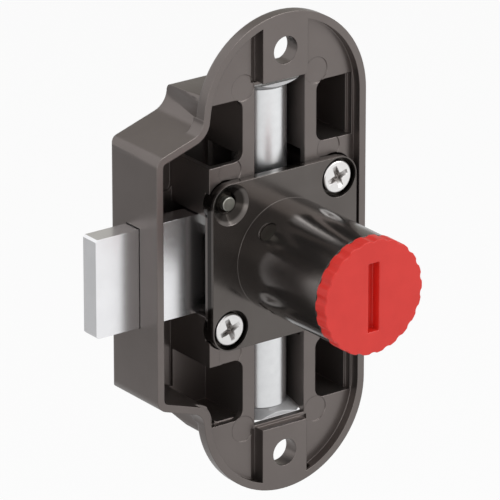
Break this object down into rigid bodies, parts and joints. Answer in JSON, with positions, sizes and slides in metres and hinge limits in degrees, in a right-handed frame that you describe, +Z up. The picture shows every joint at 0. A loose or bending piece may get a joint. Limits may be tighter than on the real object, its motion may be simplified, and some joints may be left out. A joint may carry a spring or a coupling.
{
  "type": "furniture rod lock",
  "caption": "Cabinet rod lock: a flat cast case with a sideways dead bolt, rod sockets at both ends, and a front barrel closed by a slotted red plug.",
  "frame": {"origin": "centre of the barrel in the mounting face, where the case meets the inside of the door", "axes": "+X away from the bolt, +Y into the cabinet, +Z up along the rods; the barrel points along -Y through the door"},
  "size_m": [0.0473, 0.0349, 0.078],
  "materials": {
    "cast_case": "zinc die casting, satin grey-brown",
    "cast_housing": "zinc die casting, glossy dark",
    "zinc_screw": "bright zinc-plated",
    "steel_pin": "plain steel",
    "nickel_bolt": "nickel-plated, satin",
    "steel_gear": "plain steel, lightly oiled",
    "spring_steel": "hardened spring steel",
    "turned_tube": "turned and nickel-plated",
    "red_plastic": "red moulded plastic"
  },
  "bodies": {
    "case": {"lock_case": "cast_case", "cylinder_housing": "cast_housing", "flange_screws": "zinc_screw", "locating_pins": "steel_pin", "barrel_pins": "steel_pin", "bolt_friction_spring": "spring_steel", "spring_rivet": "steel_pin", "friction_washer": "spring_steel", "bearing_bush_upper": "turned_tube", "bearing_bush_lower": "turned_tube"},
    "bolt": {"dead_bolt": "nickel_bolt", "bolt_rack": "steel_gear", "bolt_rivets": "steel_pin"},
    "driver": {"driver_spindle": "steel_gear", "drive_pinion": "steel_gear", "pinion_clip": "spring_steel", "driver_bevel": "steel_gear"},
    "hub": {"rotor_shaft": "steel_gear", "rotor_bevel": "steel_gear", "rotor_tube_upper": "turned_tube", "rotor_tube_lower": "turned_tube", "rotor_pins": "steel_pin"},
    "plug": {"plug_cap": "red_plastic", "plug_core": "red_plastic", "core_catch_ball": "steel_pin", "core_catch_spring": "spring_steel"}
  },
  "joints": [
    {"name": "driver_turn", "type": "hinge", "parent": "case", "child": "driver", "pos_m": [0, 0, 0], "axis": [0, 1, 0], "range_deg": [0, 90]},
    {"name": "bolt_throw", "type": "slide", "parent": "case", "child": "bolt", "axis": [1, 0, 0], "range_m": [0, 0.00785]},
    {"name": "hub_turn", "type": "hinge", "parent": "case", "child": "hub", "pos_m": [0, 0.0068, 0], "axis": [0, 0, 1], "range_deg": [0, 90]},
    {"name": "plug_pull", "type": "slide", "parent": "driver", "child": "plug", "axis": [0, -1, 0], "range_m": [0, 0.025]}
  ],
  "couplings": [
    {"joint": "driver_turn", "follows": "bolt_throw", "rad_per_m": 200},
    {"joint": "hub_turn", "follows": "bolt_throw", "rad_per_m": 200}
  ]
}
